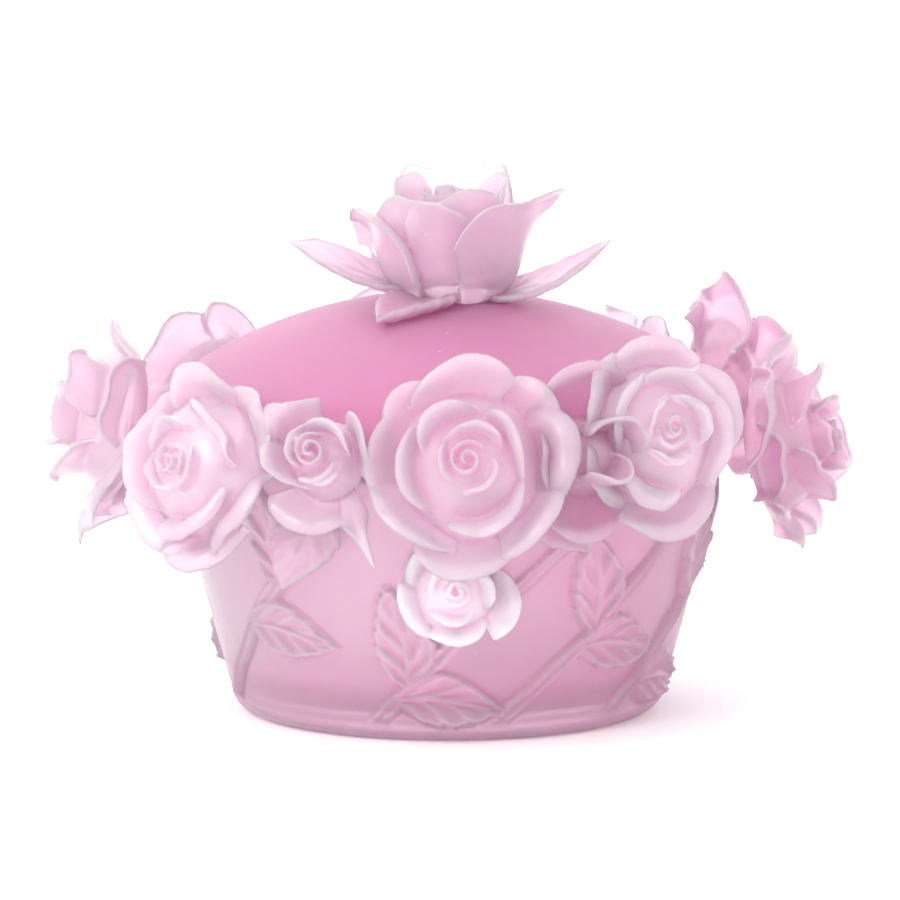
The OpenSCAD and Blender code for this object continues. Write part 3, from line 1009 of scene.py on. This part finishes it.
@dataclass(frozen=True)
class Petal:
    """One petal, in its flower's own frame: the flower opens along +Z, and clock 0 is its top, going clockwise.

    The petal's middle line is a Bezier curve from near the flower's base to its lip, `reach` out from the axis and
    `rise` above the base; `belly`, `waist` and `crest` place its two middle handles. `span` is half its width in
    degrees round the axis, and `phase` makes its ripples its own.
    """

    clock: float
    reach: float
    rise: float
    span: float
    belly: float = 0.95
    waist: float = 0.72
    crest: float = 0.9
    roll: float = 2.0
    rounded: float = 0.36
    ruffle: float = 1.2
    tuck: float = 1.6
    skew: float = 2.4
    point: float = 0.0
    thickness: float = 1.9
    start_r: float = 2.5
    start_z: float = 1.0
    phase: float = 0.0

    def sheet(self, rows: int = 40, cols: int = 44) -> Patch:
        """The petal as a closed sheet.

        Args:
            rows: Vertices along the petal.
            cols: Vertices across it.

        Returns:
            The patch. The petal is shorter at its sides by a power of the distance from its middle, and a bell
            curve draws its middle out to a point. Its lip rolls back by a power of how near it is, and its sides
            droop by the square of how near they are. One side tucks under its neighbour and the other lies over,
            in proportion to the distance from the middle, and sums of sines ripple it near the lip. It wraps
            round the flower's axis, and thins evenly from its foot to its lip.
        """
        s = even_rim(rows)[:, None]
        u = (2 * even_rim(cols) - 1)[None, :]
        length = 1 - self.rounded * np.abs(u) ** 2.6 + self.point * np.exp(-((u / 0.22) ** 2))
        v = s * length
        w = 1 - v
        handles = np.array([
            [self.start_r, self.start_z],
            [self.start_r + self.belly * (self.reach - self.start_r), self.start_z + 0.12 * self.rise],
            [self.start_r + self.waist * (self.reach - self.start_r), self.rise * self.crest],
            [self.reach, self.rise],
        ])
        shares = [w**3, 3 * w * w * v, 3 * w * v * v, v**3]
        r = sum(share * handle[0] for share, handle in zip(shares, handles))
        z = sum(share * handle[1] for share, handle in zip(shares, handles))
        lip = np.clip((s - 0.55) / 0.45, 0, 1)
        r = r + self.roll * 0.6 * lip**2
        z = z - self.roll * lip**2.5
        side = np.clip((np.abs(u) - 0.6) / 0.4, 0, 1) ** 2
        z = z - side * s * (1.4 + 0.6 * self.roll)
        r = r + self.tuck * u * s + 0.9 * self.ruffle * np.sin(3.1 * u + 1.7 * self.phase) * s**2
        z = z + self.skew * u * s
        wave = np.sin(u * 4.2 + self.phase) + 0.6 * np.sin(u * 7.1 + 2.3 * self.phase + 1)
        z = z + self.ruffle * wave * s**3 + 0.3 * np.sin(11 * u + 2 * self.phase) * s**2
        turn = np.radians(self.clock + self.span * u * (0.72 + 0.28 * v))
        mid = np.stack(np.broadcast_arrays(r * np.sin(turn), r * np.cos(turn), z), axis=-1)
        rounding = np.sqrt(np.clip(1 - np.abs(u) ** 10, 0, 1)) * np.sqrt(np.clip(1 - (2 * s - 1) ** 12, 0, 1))
        return closed_sheet(mid, self.thickness * (1.5 - 0.9 * s) * rounding)


@dataclass(frozen=True)
class Heart:
    """The wound-up middle of a flower: a spiral of glass over a solid core."""

    radius: float = 4.6
    top: float = 20.6
    turns: float = 1.6
    wall: float = 1.0
    core_r: float = 18.0
    core_h: float = 17.2
    clock: float = 0.0

    def patches(self) -> list[Patch]:
        """Makes the spiral and the core.

        Returns:
            The spiral, a sheet whose radius grows evenly with its angle and flares towards its lip, and the core,
            a hill that falls off by the cube of the radius, over an underside that rises by its square.
        """
        t = np.linspace(0.02, 1, 130)[:, None]
        s = np.linspace(0, 1, 16)[None, :]
        angle = math.radians(self.clock) + t * self.turns * 2 * math.pi
        r = (0.6 + (self.radius - 0.6) * t) * (0.86 + 0.14 * s**2 + 0.1 * s**6)
        wobble = 0.5 * np.sin(2.3 * angle) * t
        z = self.top * (0.3 + 0.7 * s) + (wobble - 1.6 * t) * s
        mid = np.stack(np.broadcast_arrays(r * np.sin(angle), r * np.cos(angle), z), axis=-1)
        rim = np.sqrt(np.clip(1 - (2 * s - 1) ** 8, 0, 1)) * np.sqrt(np.clip(1 - (2 * t - 1) ** 20, 0, 1))
        spiral = closed_sheet(mid, self.wall * rim)
        rise, fall = np.linspace(0, 1, 12), np.linspace(1, 0, 24)[1:]
        core_r = self.core_r * np.concatenate([rise, fall])
        core_z = self.core_h * np.concatenate([0.25 * rise**2, 1 - 0.75 * fall**3])
        core = revolved(core_r, core_z, 40)
        return [spiral, core]


@dataclass(frozen=True)
class FlowerPlace:
    """Where a flower grows and which way it faces."""

    angle: float
    radius: float
    height: float
    tilt: float

    def axes(self) -> np.ndarray:
        """Directions of the flower's own frame.

        Returns:
            Right, up and outwards as rows, as someone who faces the flower sees them.
        """
        a, t = math.radians(self.angle), math.radians(self.tilt)
        flat = np.array([math.sin(a), -math.cos(a), 0.0])
        up = np.array([0.0, 0.0, 1.0])
        return np.stack([
            [math.cos(a), math.sin(a), 0.0],
            math.cos(t) * up - math.sin(t) * flat,
            math.cos(t) * flat + math.sin(t) * up,
        ])

    def base(self) -> np.ndarray:
        """The point that the flower opens from."""
        a = math.radians(self.angle)
        return np.array([self.radius * math.sin(a), -self.radius * math.cos(a), self.height])

    def put(self, verts: np.ndarray) -> np.ndarray:
        """Points of the flower's own frame, moved to the jar's."""
        return verts @ self.axes() + self.base()


def ring(count: int, first: float, seed: int, like: Petal) -> list[Petal]:
    """Petals like one, evenly round the flower but each a little different.

    Args:
        count: How many.
        first: Clock of the first.
        seed: Seed of the small differences.
        like: The petal they follow.

    Returns:
        The petals.
    """
    draw = np.random.default_rng(seed).uniform(-1, 1, (count, 6))
    return [
        replace(
            like,
            clock=first + 360 / count * k + 7 * d[0],
            reach=like.reach * (1 + 0.06 * d[1]),
            rise=like.rise + 1.2 * d[2],
            span=like.span * (1 + 0.1 * d[3]),
            roll=like.roll + 1.2 * d[4],
            point=like.point + 0.12 * max(d[5], 0.0),
            phase=like.phase + 3 * d[0] + 2 * k,
        )
        for k, d in enumerate(draw)
    ]


OUTER = Petal(0, 23.5, 12.5, 47, crest=0.95, roll=2.4)
MIDDLE = Petal(0, 14.0, 18.5, 56, belly=1.05, crest=1.0, ruffle=0.4, rounded=0.34)
INNER = Petal(
    0, 10.0, 21.0, 64, belly=1.05, crest=1.0, roll=1.3, rounded=0.28, ruffle=0.5, tuck=1.0, skew=1.2, thickness=1.8
)


def full_rose(seed: int, first: float) -> list[Petal]:
    """Three rings of petals of a full rose, from the outside in."""
    return ring(5, first, seed, OUTER) + ring(4, first + 38, seed + 1, MIDDLE) + ring(3, first + 10, seed + 2, INNER)


def inner_wrap(first: float, reach: float = 9.0, rise: float = 21.0) -> list[Petal]:
    """Three petals close round the heart."""
    return [replace(INNER, clock=first + 125 * k, reach=reach - k, rise=rise - 0.4 * k, phase=k) for k in range(3)]


FRONT_ROSE = [
    Petal(44, 25.0, 9.0, 36, roll=1.0, phase=1.0),
    Petal(-88, 25.0, 10.5, 42, roll=0.6, phase=2.0),
    Petal(-52, 24.0, 8.5, 34, roll=0.6, phase=0.7),
    Petal(180, 26.5, 9.0, 42, roll=1.0, phase=0.4),
    Petal(-136, 24.5, 13.5, 38, roll=0.8, phase=3.0),
    Petal(130, 25.0, 14.5, 36, roll=1.6, phase=2.5),
    Petal(-8, 24.5, 15.5, 42, roll=0.8, phase=0.0, ruffle=0.8, rounded=0.3),
    Petal(80, 24.5, 16.0, 38, roll=4.0, phase=1.4),
    Petal(-100, 17.0, 17.0, 54, crest=1.0, roll=0.8, phase=1.7),
    Petal(150, 17.0, 18.5, 58, crest=1.0, roll=1.4, phase=0.5),
    Petal(-40, 13.5, 19.8, 58, crest=1.0, roll=1.0, phase=1.0),
    Petal(60, 13.5, 20.3, 56, crest=1.0, roll=1.6, phase=2.0),
    *inner_wrap(10, 8.5),
]
FRONT_RIGHT_ROSE = [
    Petal(170, 25.0, 12.0, 54, roll=1.6, ruffle=0.3, phase=0.3),
    Petal(72, 23.5, 13.0, 46, roll=2.0, phase=1.2),
    Petal(5, 23.0, 13.5, 46, roll=1.8, phase=2.2),
    Petal(-62, 22.5, 12.5, 42, roll=2.4, phase=2.9),
    Petal(-118, 23.0, 12.0, 36, roll=2.0, phase=0.8),
    Petal(96, 18.5, 17.0, 50, crest=1.0, roll=2.6, phase=2.0),
    Petal(200, 17.0, 17.5, 50, crest=1.0, roll=4.0, phase=0.6, ruffle=1.0),
    Petal(-60, 15.5, 18.0, 56, crest=1.0, roll=2.2, phase=1.6),
    Petal(20, 15.0, 19.0, 56, crest=1.0, roll=1.6, phase=2.6),
    *inner_wrap(60),
]
FRONT_LEFT_ROSE = [
    Petal(48, 24.5, 11.5, 44, roll=2.4, phase=0.2),
    Petal(-14, 22.5, 13.0, 48, roll=2.0, phase=1.1),
    Petal(-80, 21.5, 12.0, 46, roll=2.0, phase=2.4),
    Petal(172, 23.5, 10.5, 40, roll=2.6, phase=0.9),
    Petal(-140, 22.0, 13.0, 52, roll=3.0, phase=1.7),
    Petal(122, 21.5, 13.5, 42, roll=3.4, phase=2.1),
    Petal(150, 16.5, 18.0, 58, crest=1.0, roll=3.0, phase=0.7),
    Petal(-100, 16.0, 18.5, 62, crest=1.0, roll=2.0, phase=1.9),
    Petal(36, 16.0, 18.5, 56, crest=1.0, roll=2.2, phase=2.8),
    *inner_wrap(-30),
]
RIGHT_ROSE = [
    Petal(8, 24.5, 14.0, 46, roll=1.4, phase=0.3),
    Petal(-58, 24.0, 12.0, 44, roll=2.0, point=0.14, phase=1.3),
    Petal(72, 23.5, 15.0, 44, roll=1.6, point=0.2, phase=2.3),
    Petal(140, 25.0, 11.0, 36, roll=2.8, point=0.16, phase=0.8),
    Petal(-150, 25.5, 11.5, 38, roll=2.4, point=0.1, phase=2.7),
    Petal(-96, 22.0, 13.0, 34, roll=2.6, phase=1.8),
    Petal(-20, 16.0, 22.0, 56, crest=1.0, roll=1.8, phase=0.6),
    Petal(100, 16.5, 22.0, 56, crest=1.0, roll=2.6, phase=1.6),
    Petal(-140, 16.0, 21.5, 58, crest=1.0, roll=2.4, phase=2.6),
    *inner_wrap(20, 9.0, 23.0),
]
LEFT_ROSE = [
    Petal(-8, 24.0, 13.0, 44, roll=1.2, phase=0.1),
    Petal(60, 23.5, 12.0, 44, roll=1.6, phase=1.2),
    Petal(-66, 23.5, 13.5, 42, roll=1.8, phase=2.2),
    Petal(128, 25.5, 9.5, 34, roll=2.2, point=0.22, phase=0.9),
    Petal(-172, 26.0, 10.5, 34, roll=2.4, point=0.18, phase=1.7),
    Petal(-124, 24.0, 11.0, 36, roll=2.8, point=0.1, phase=2.6),
    Petal(30, 17.0, 21.5, 58, crest=1.0, roll=1.6, phase=0.5),
    Petal(-90, 17.0, 22.0, 58, crest=1.0, roll=2.0, phase=1.5),
    Petal(150, 16.0, 21.0, 60, crest=1.0, roll=2.6, phase=2.5),
    *inner_wrap(70, 9.0, 23.0),
]
BACK_RIGHT_ROSE = [replace(p, point=0.2 if k == 0 else p.point) for k, p in enumerate(full_rose(41, -10))]
BUD_LEFT = [
    Petal(196, 18.0, 7.0, 46, roll=1.4, ruffle=0.3, phase=0.5),
    Petal(150, 20.0, 3.5, 15, roll=-1.5, point=0.35, rounded=0.6, thickness=1.8, phase=1.0),
    Petal(-52, 14.0, 13.5, 52, roll=1.0, point=0.22, phase=1.9),
    Petal(68, 13.5, 15.0, 52, roll=1.4, phase=2.4),
    Petal(-118, 11.5, 16.0, 46, crest=1.0, roll=1.0, phase=0.2),
    *inner_wrap(30, 8.0, 19.0),
]
BUD_RIGHT = [
    Petal(180, 20.0, 8.0, 42, roll=1.2, ruffle=0.3, phase=0.2),
    Petal(-4, 22.0, 12.5, 42, roll=1.0, rounded=0.34, ruffle=0.3, phase=1.4),
    Petal(-96, 14.0, 13.0, 46, roll=1.6, phase=2.0),
    Petal(92, 13.5, 13.5, 46, roll=1.6, phase=2.7),
    Petal(30, 9.5, 20.0, 72, crest=1.05, roll=-1.0, phase=0.4),
    Petal(160, 7.5, 21.0, 80, crest=1.1, roll=-1.6, phase=1.3),
]
BUD_BACK = ring(4, 20, 61, Petal(0, 14.0, 14.0, 50, roll=1.4)) + inner_wrap(0, 8.5, 19.5)
LOW_PETAL = Petal(0, 12.5, 6.5, 46, roll=1.2, ruffle=0.35, thickness=1.8, start_r=1.5, start_z=0.0)
LOW_FRONT = [
    replace(LOW_PETAL, clock=96, reach=15.0, rise=7.0, span=50, phase=0.4),
    replace(LOW_PETAL, clock=168, reach=12.0, rise=7.5, span=52, phase=1.4),
    replace(LOW_PETAL, clock=-118, reach=13.5, phase=2.4),
    replace(LOW_PETAL, clock=-50, reach=13.0, rise=6.0, phase=0.9),
    replace(LOW_PETAL, clock=22, reach=12.0, rise=6.0, phase=1.9),
    *[replace(LOW_PETAL, clock=60 + 120 * k, reach=7.8 - 0.5 * k, rise=9.3, span=60, phase=k) for k in range(3)],
]
LOW_BACK = ring(5, 30, 71, LOW_PETAL) + ring(3, 60, 72, replace(LOW_PETAL, reach=7.5, rise=9.3, span=60))
KNOB_PETAL = Petal(
    0, 18.0, 30.0, 44, belly=0.85, waist=0.8, crest=0.72, roll=1.6, rounded=0.3, start_r=4.0, thickness=2.2
)
KNOB = [
    replace(KNOB_PETAL, clock=-36, reach=16.0, rise=33.5, span=52, phase=0.4),
    replace(KNOB_PETAL, clock=30, reach=17.5, rise=34.5, span=46, phase=1.4),
    replace(KNOB_PETAL, clock=-114, reach=22.0, rise=29.5, span=46, waist=0.6, roll=5.0, phase=2.4),
    replace(KNOB_PETAL, clock=120, reach=26.0, rise=30.0, span=62, waist=0.46, roll=1.6, point=0.1, phase=0.9),
    replace(KNOB_PETAL, clock=206, reach=17.0, rise=31.0, span=70, belly=1.0, phase=1.9, roll=2.4),
    replace(KNOB_PETAL, clock=158, reach=15.5, rise=32.5, span=66, belly=1.05, phase=2.9),
    replace(KNOB_PETAL, clock=60, reach=12.5, rise=33.0, span=60, phase=0.7),
    replace(KNOB_PETAL, clock=-60, reach=12.0, rise=33.0, span=60, phase=1.7),
]


@dataclass
class Flower:
    """A rose or bud: petals and heart melted into one skin, on a neck that grows from the glass under it."""

    node: str
    petals: list[Petal]
    heart: Heart = Heart()
    lean: tuple[float, float] = (0.0, 0.0)
    finish: CastGlass = ROSE_GLASS
    body: Body = Body.BOWL
    depth: float = 25.0
    tilt: float = 12.0
    stand: float = 6.5
    voxel: float = 0.46
    soften: int = 2
    neck_r: float = 4.2
    root_out: float = 2.5
    root_drop: float = 7.5
    bend_drop: float = 5.5

    def place(self, bowl: Bowl) -> FlowerPlace:
        """Finds where the flower grows.

        Args:
            bowl: Bowl whose mouth it stands off.

        Returns:
            Its place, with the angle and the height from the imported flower's box.
        """
        low, high = (np.array(corner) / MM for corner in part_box(self.node))
        mid = (low + high) / 2
        angle = math.degrees(math.atan2(mid[0], -mid[1]))
        height = mid[2] - self.depth / 2 * math.sin(math.radians(self.tilt))
        return FlowerPlace(angle, bowl.mouth_r + self.stand, height, self.tilt)

    def blossom(self) -> Patch:
        """Puts petals and heart together.

        Returns:
            The flower in its own frame, leaning sideways in proportion to the height.
        """
        patch = Patch.joined([petal.sheet() for petal in self.petals] + self.heart.patches())
        patch.verts[:, :2] += patch.verts[:, 2:] / self.heart.top * np.array(self.lean)
        return patch

    def neck(self, bowl: Bowl, place: FlowerPlace) -> Patch:
        """Makes the neck, a tube on a quadratic Bezier curve from the wall, out and then up to the flower.

        Args:
            bowl: Bowl that it grows from. It starts `root_drop` under the mouth, or lower.
            place: Where the flower is.

        Returns:
            The neck in the jar's own frame.
        """
        root_z = min(place.height - 4, bowl.height - self.root_drop)
        bend_z = min(place.height, bowl.height - self.bend_drop)
        root = replace(place, radius=float(bowl.radius(root_z)) + self.root_out, height=root_z).base()
        bend = replace(place, height=bend_z).base()
        end = place.put(np.array([[0.0, 0.0, 3.0]]))[0]
        t = np.linspace(0, 1, 18)[:, None]
        path = (1 - t) ** 2 * root + 2 * t * (1 - t) * bend + t**2 * end
        return tube(path, self.neck_r * np.sqrt(np.clip(1 - (2 * t[:, 0] - 1) ** 6, 1e-6, 1)))

    def build(self, bowl: Bowl) -> bpy.types.Object:
        """Makes the flower on its neck.

        Args:
            bowl: Bowl that it grows from.

        Returns:
            The piece.
        """
        place = self.place(bowl)
        blossom = self.blossom()
        parts = [Patch(place.put(blossom.verts), blossom.quads), self.neck(bowl, place)]
        return self.cast(parts)

    def cast(self, parts: list[Patch]) -> bpy.types.Object:
        """Melts the parts into one skin and dresses it.

        Args:
            parts: Closed parts that overlap.

        Returns:
            The piece.
        """
        piece = new_object(self.node + "_petals", Patch.joined(parts))
        fused(piece, self.voxel, self.soften)
        dressed(piece, self.finish, self.body, self.node)
        return piece


@dataclass
class LowRose(Flower):
    """A small rose low on the wall, rooted in it without a neck."""

    heart: Heart = Heart(radius=3.6, top=9.6, turns=1.8, wall=1.2, core_r=10.0, core_h=7.5)
    depth: float = 11.0
    voxel: float = 0.42
    sunk: float = 0.5
    finish: CastGlass = PALEST_GLASS

    def build(self, bowl: Bowl) -> bpy.types.Object:
        """Makes the rose against the wall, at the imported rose's height.

        Args:
            bowl: Bowl that it sits on.

        Returns:
            The piece.
        """
        near_mouth = self.place(bowl)
        place = replace(near_mouth, radius=float(bowl.radius(near_mouth.height)) - self.sunk)
        blossom = self.blossom()
        return self.cast([Patch(place.put(blossom.verts), blossom.quads)])


@dataclass
class KnobRose(Flower):
    """The cup-shaped rose that stands on the lid."""

    heart: Heart = Heart(radius=6.0, top=31.0, turns=1.9, core_r=9.5, core_h=24.0)
    finish: CastGlass = KNOB_GLASS
    body: Body = Body.LID
    foot_r: float = 7.0
    foot_h: float = 12.0

    def build(self, bowl: Bowl) -> bpy.types.Object:
        """Makes the rose upright on the dome, with the back of the jar at its clock's top.

        Args:
            bowl: The jar's bowl. It is not used, as this rose isn't placed by it.

        Returns:
            The piece.
        """
        low, _ = (np.array(corner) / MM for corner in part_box(self.node))
        place = FlowerPlace(0.0, 0.0, low[2], 90.0)
        blossom = self.blossom()
        parts = [Patch(place.put(blossom.verts), blossom.quads)]
        foot = np.linspace(0, 1, 12)[:, None]
        path = np.array([0, 0, low[2] - 1]) + foot * np.array([0, 0, self.foot_h])
        parts.append(tube(path, self.foot_r * np.sqrt(np.clip(1 - (2 * foot[:, 0] - 1) ** 8, 1e-6, 1)), sides=32))
        return self.cast(parts)


# ---------------------------------------------------------------------------------------------------------------
# Leaves
# ---------------------------------------------------------------------------------------------------------------


class OpenAir:
    """The ground of a leaf that is free of the wall: plain coordinates."""

    @staticmethod
    def flat(points: np.ndarray) -> np.ndarray:
        """The points as they are."""
        return points

    @staticmethod
    def placed(points: np.ndarray) -> np.ndarray:
        """The points as they are."""
        return points


@dataclass
class Leaf:
    """A veined leaf that is free of the glass, on the line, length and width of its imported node.

    The node's points are laid flat on the leaf's ground, and its height over the ground is a quadratic curve fitted
    along it.
    """

    node: str
    towards: tuple[float, float]
    finish: CastGlass = LEAF_GLASS
    body: Body = Body.BOWL
    shape: LeafShape = LeafShape()
    thickness: float = 2.0
    fold: float = 2.2
    vein_h: float = 0.5
    curl: float = 0.0
    twist: float = 0.0
    voxel: float = 0.45
    soften: int = 2
    rows: int = 84
    cols: int = 57

    def build(self, ground: Bowl | OpenAir) -> bpy.types.Object:
        """Makes the leaf.

        It follows the fitted curve, is folded up by a power of the distance from its midrib, ribbed, waved by a sine,
        curled by the fourth power of the distance along it, and twisted in proportion to that distance.

        Args:
            ground: The bowl's wall, or the open air.

        Returns:
            The piece.
        """
        points = ground.flat(node_points(self.node))
        strip = Strip.of(points, self.towards)
        along = (points[:, :2] - strip.centre) @ strip.way
        curve = np.polyfit(along, points[:, 2], 2)
        v = even_rim(self.rows)[:, None]
        u = np.linspace(-1, 1, self.cols)[None, :]
        p = strip.start + strip.length * v
        width = self.shape.outline(v)
        q = strip.half_w * width * u + self.shape.bend(v)
        rise = np.polyval(curve, p) + self.fold * (np.abs(u) ** 1.6 - 0.4) * width
        rise = rise + self.vein_h * self.shape.ribs(u, v) + self.curl * v**4 + 0.5 * np.sin(5 * v + 3 * u) * v
        rise = rise + self.twist * q * v
        p, q, rise = np.broadcast_arrays(p, q, rise)
        flat = strip.centre + p[..., None] * strip.way + q[..., None] * strip.side
        mid = ground.placed(np.concatenate([flat, rise[..., None]], axis=-1))
        rounding = np.sqrt(np.clip(1 - np.abs(u) ** 8, 0, 1)) * np.sqrt(np.clip(1 - (2 * v - 1) ** 12, 0, 1))
        patch = closed_sheet(mid, self.thickness * rounding * np.clip(2.5 * width, 0.3, 1))
        piece = new_object(self.node + "_glass", patch)
        fused(piece, self.voxel, self.soften)
        dressed(piece, self.finish, self.body, self.node)
        return piece


# ---------------------------------------------------------------------------------------------------------------
# Studio
# ---------------------------------------------------------------------------------------------------------------


@dataclass
class Studio:
    """Pale floor, white surroundings, soft lights and the camera."""

    elevation: float = 9.3
    lens: float = 600.0
    width_mm: float = 219.2
    centre: tuple[float, float, float] = (0.5, 0.0, 63.2)
    room: float = 1.55
    lean: float = 0.24
    floor_half: float = 4.0
    floor_glow: float = 0.12
    sensor_mm: float = 36.0
    aim: tuple[float, float, float] = (0.0, 0.0, 0.07)

    def build(self) -> None:
        """Makes the world, the floor, the lights and the camera."""
        scene = bpy.context.scene
        scene.view_settings.view_transform = "Standard"
        self._room(scene)
        self._floor()
        self._light("spark", (-0.75, -0.95, 1.1), size=0.14, power=2.2)
        self._light("key", (-0.7, -1.1, 0.75), size=0.5, power=4.5)
        self._light("fill", (1.1, -0.7, 0.5), size=0.9, power=1.0)
        self._light("back", (-0.2, 1.1, 1.3), size=1.0, power=2.0)
        self._camera(scene)

    def _room(self, scene: bpy.types.Scene) -> None:
        """Lights the jar from all round in white, stronger from the left and weaker from the right by `lean`.

        Args:
            scene: Scene that gets the world.
        """
        world = bpy.data.worlds.new("white_room")
        world.use_nodes = True
        back = world.node_tree.nodes["Background"]
        back.inputs["Color"].default_value = (1.0, 1.0, 1.0, 1.0)
        nodes, link = world.node_tree.nodes, world.node_tree.links.new
        place, across, fall = (
            nodes.new(kind) for kind in ("ShaderNodeTexCoord", "ShaderNodeSeparateXYZ", "ShaderNodeMapRange")
        )
        link(place.outputs["Generated"], across.inputs[0])
        link(across.outputs["X"], fall.inputs["Value"])
        fall.inputs["From Min"].default_value = -1.0
        fall.inputs["To Min"].default_value = self.room * (1 + self.lean)
        fall.inputs["To Max"].default_value = self.room * (1 - self.lean)
        link(fall.outputs["Result"], back.inputs["Strength"])
        scene.world = world

    def _floor(self) -> None:
        """Lays a wide white sheet under the jar, which glows a little as a lit table does."""
        mesh = bpy.data.meshes.new("floor")
        half = self.floor_half
        mesh.from_pydata([(-half, -half, 0), (half, -half, 0), (half, half, 0), (-half, half, 0)], [], [(0, 1, 2, 3)])
        floor = bpy.data.objects.new("floor", mesh)
        bpy.context.scene.collection.objects.link(floor)
        white = bpy.data.materials.new("white_sheet")
        white.use_nodes = True
        paper = white.node_tree.nodes["Principled BSDF"]
        paper.inputs["Base Color"].default_value = (0.9, 0.9, 0.9, 1)
        paper.inputs["Roughness"].default_value = 0.9
        paper.inputs["Emission Color"].default_value = (1.0, 1.0, 1.0, 1)
        paper.inputs["Emission Strength"].default_value = self.floor_glow
        mesh.materials.append(white)

    def _light(self, name: str, place: tuple[float, float, float], size: float, power: float) -> None:
        """Hangs a square soft light that looks at the jar.

        Args:
            name: Its name.
            place: Where it hangs, in metres.
            size: Length of its side, in metres.
            power: Its power, in watts.
        """
        lamp = bpy.data.lights.new(name, "AREA")
        lamp.size = size
        lamp.energy = power
        light = bpy.data.objects.new(name, lamp)
        light.location = place
        light.rotation_euler = _look(np.array(self.aim) - np.array(place))
        bpy.context.scene.collection.objects.link(light)

    def _camera(self, scene: bpy.types.Scene) -> None:
        """Sets up a long lens in front of the jar, a little above its level.

        Args:
            scene: Scene that gets the camera.
        """
        lens = bpy.data.cameras.new("camera")
        lens.lens = self.lens
        lens.sensor_width = self.sensor_mm
        camera = bpy.data.objects.new("camera", lens)
        e = math.radians(self.elevation)
        distance = self.width_mm * MM * self.lens / lens.sensor_width
        towards = np.array([0, -math.cos(e), math.sin(e)])
        camera.location = np.array(self.centre) * MM + distance * towards
        camera.rotation_euler = _look(-towards)
        scene.collection.objects.link(camera)
        scene.camera = camera


def _look(direction: np.ndarray) -> tuple[float, float, float]:
    """Turns a light or a camera to look along a direction, with its top up.

    Args:
        direction: The direction, of any length.

    Returns:
        Its Euler angles.
    """
    x, y, z = direction / np.linalg.norm(direction)
    return math.acos(-z), 0.0, math.atan2(-x, y)


BUD_HEART = Heart(radius=4.2, top=19.0, turns=1.8, core_r=9.5, core_h=14.0)
FLOWERS = [
    Flower("rose_front", FRONT_ROSE, Heart(clock=200), lean=(-3.0, 2.0)),
    Flower("rose_front_right", FRONT_RIGHT_ROSE, Heart(clock=60), lean=(-3.5, 2.0)),
    # The right rose, the back right rose and the front right bud take the deeper glass as painted shade.
    Flower("rose_right", RIGHT_ROSE, Heart(clock=20, top=23.5), finish=DEEP_GLASS),
    Flower("rose_back_right", BACK_RIGHT_ROSE, Heart(clock=120), finish=DEEP_GLASS),
    Flower("bud_back", BUD_BACK, replace(BUD_HEART, clock=50)),
    Flower("rose_back", full_rose(51, 16), Heart(clock=90)),
    Flower("rose_back_left", full_rose(53, 30), Heart(clock=150)),
    Flower("rose_left", LEFT_ROSE, Heart(clock=320, top=23.5)),
    Flower("rose_front_left", FRONT_LEFT_ROSE, Heart(clock=280), lean=(-1.0, 1.0)),
    Flower("bud_front_left", BUD_LEFT, replace(BUD_HEART, clock=100), lean=(0.5, 2.5)),
    Flower("bud_front_right", BUD_RIGHT, replace(BUD_HEART, top=13.0, clock=10), finish=DEEP_GLASS),
    LowRose("rose_low_front", LOW_FRONT, lean=(1.0, 0.5)),
    LowRose("rose_low_back", LOW_BACK),
    KnobRose("knob_rose", KNOB),
]
GARLAND_LEAF = LeafShape(tooth=0.16)
KNOB_LEAVES = [
    Leaf("knob_leaf_left", (-1, 0), KNOB_GLASS, Body.LID, LeafShape(sweep=1.0), curl=-2.0, twist=-0.7),
    Leaf(
        "knob_leaf_front", (-0.5, -1), DEEP_KNOB_GLASS, Body.LID, LeafShape(tooth=0.14), thickness=2.6, fold=3.2
    ),
    Leaf("knob_leaf_right", (1, 0), KNOB_GLASS, Body.LID, LeafShape(sweep=-2.0), curl=3.0, twist=0.6),
    Leaf("knob_leaf_back_right", (0.5, 1), KNOB_GLASS, Body.LID),
    Leaf("knob_leaf_back_left", (-0.5, 1), KNOB_GLASS, Body.LID),
]


def main() -> None:
    """Builds the studio, the bowl, the lid, the flowers and the leaves in order, and reports each piece."""
    logging.basicConfig(level=logging.INFO, format="%(message)s")
    Studio().build()
    bowl = Bowl()
    bowl.build()
    Lid().build()
    for flower in FLOWERS:
        flower.build(bowl)
    for node in sorted(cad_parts):
        if node.startswith("garland_leaf_"):
            Leaf(node, (0, -1), shape=GARLAND_LEAF, vein_h=0.7).build(bowl)
    for leaf in KNOB_LEAVES:
        leaf.build(OpenAir())


if __name__ == "__main__":
    main()
